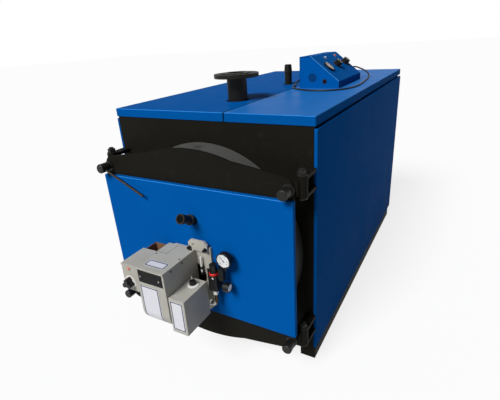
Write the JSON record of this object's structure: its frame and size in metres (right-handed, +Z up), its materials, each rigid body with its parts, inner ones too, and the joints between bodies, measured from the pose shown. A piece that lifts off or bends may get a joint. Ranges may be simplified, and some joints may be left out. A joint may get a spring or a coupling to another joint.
{
  "type": "industrial hot water boiler",
  "caption": "Horizontal fire-tube hot water boiler in a blue sheet jacket, with an arched swing door, an air-fed burner on the door and a control console on the lid.",
  "frame": {"origin": "on the floor, under the middle of the whole part's box", "axes": "+Z up, -Y to the front where the door is, +X to the right seen from the front"},
  "size_m": [0.966, 2.2856, 1.233],
  "materials": {
    "black_paint": "satin black paint",
    "vessel_steel": "primed boiler plate",
    "furnace_steel": "scaled bare boiler plate",
    "jacket_blue": "semi-gloss blue powder coat",
    "lid_blue": "semi-gloss blue powder coat",
    "door_blue": "semi-gloss blue powder coat",
    "drum_grey": "dull heat-resistant grey-black paint",
    "refractory": "cast refractory",
    "gasket_rope": "braided ceramic rope",
    "burner_paint": "fine textured pebble grey paint",
    "plate_zinc": "dull zinc plated steel",
    "blast_steel": "heat-tinted steel",
    "intake_brown": "primed sheet, brown inside",
    "black_plastic": "moulded black plastic",
    "instrument_black": "black instrument rim",
    "cable_sheath": "black cable sheath"
  },
  "bodies": {
    "boiler": {"skids": "black_paint", "front_plate": "black_paint", "rear_plate": "black_paint", "pressure_shell": "vessel_steel", "tube_plate": "furnace_steel", "furnace_tube": "furnace_steel", "smoke_tubes": "furnace_steel", "smoke_box": "black_paint", "flue_spigot": "black_paint", "left_side_panel": "jacket_blue", "right_side_panel": "jacket_blue", "left_lid": "lid_blue", "right_lid": "lid_blue", "flow_pipe": "black_paint", "return_pipe": "black_paint", "safety_socket": "black_paint", "hinge_lugs": "black_paint", "hinge_pins": "black_paint", "left_hinge_blocks": "black_paint", "console_case": "jacket_blue", "console_instruments": "instrument_black", "cable_glands": "black_plastic", "console_cable": "cable_sheath"},
    "door": {"door_plate": "black_paint", "door_drum": "drum_grey", "door_lining": "refractory", "door_gasket": "gasket_rope", "door_cover": "door_blue", "right_hinge_blocks": "black_paint", "door_bolts": "black_paint", "sight_tube": "black_paint", "burner_mount_plate": "plate_zinc", "blast_tube": "blast_steel", "burner_housing": "burner_paint", "burner_control_box": "burner_paint", "intake_box": "intake_brown", "side_tank": "burner_paint", "tank_cap": "black_plastic", "air_regulator": "black_plastic", "pressure_gauges": "instrument_black"},
    "clamp": {"clamp_bolt": "black_paint"},
    "control_knob": {"burner_knob": "black_plastic"},
    "pressure_knob": {"regulator_knob": "black_plastic"},
    "thermostat": {"thermostat_knob": "black_plastic"},
    "limiter": {"limiter_knob": "black_plastic"}
  },
  "joints": [
    {"name": "door_swing", "type": "hinge", "parent": "boiler", "child": "door", "pos_m": [0.458, -0.8292, 0.527], "axis": [0, 0, 1], "range_deg": [0, 100]},
    {"name": "clamp_turn", "type": "hinge", "parent": "door", "child": "clamp", "pos_m": [-0.43, -0.8795, 0.855], "axis": [0, -1, 0], "continuous": true},
    {"name": "control_knob_turn", "type": "hinge", "parent": "door", "child": "control_knob", "pos_m": [-0.161, -1.1165, 0.47], "axis": [0, -1, 0], "range_deg": [-135, 135]},
    {"name": "pressure_knob_turn", "type": "hinge", "parent": "door", "child": "pressure_knob", "pos_m": [0.118, -0.9345, 0.47], "axis": [0, 0, 1], "continuous": true},
    {"name": "thermostat_turn", "type": "hinge", "parent": "boiler", "child": "thermostat", "pos_m": [0.26765, 0.1608, 1.17529], "axis": [0.6272, 0, 0.7788], "range_deg": [0, 270]},
    {"name": "limiter_turn", "type": "hinge", "parent": "boiler", "child": "limiter", "pos_m": [0.26765, 0.3058, 1.17529], "axis": [0.6272, 0, 0.7788], "range_deg": [0, 270]}
  ]
}
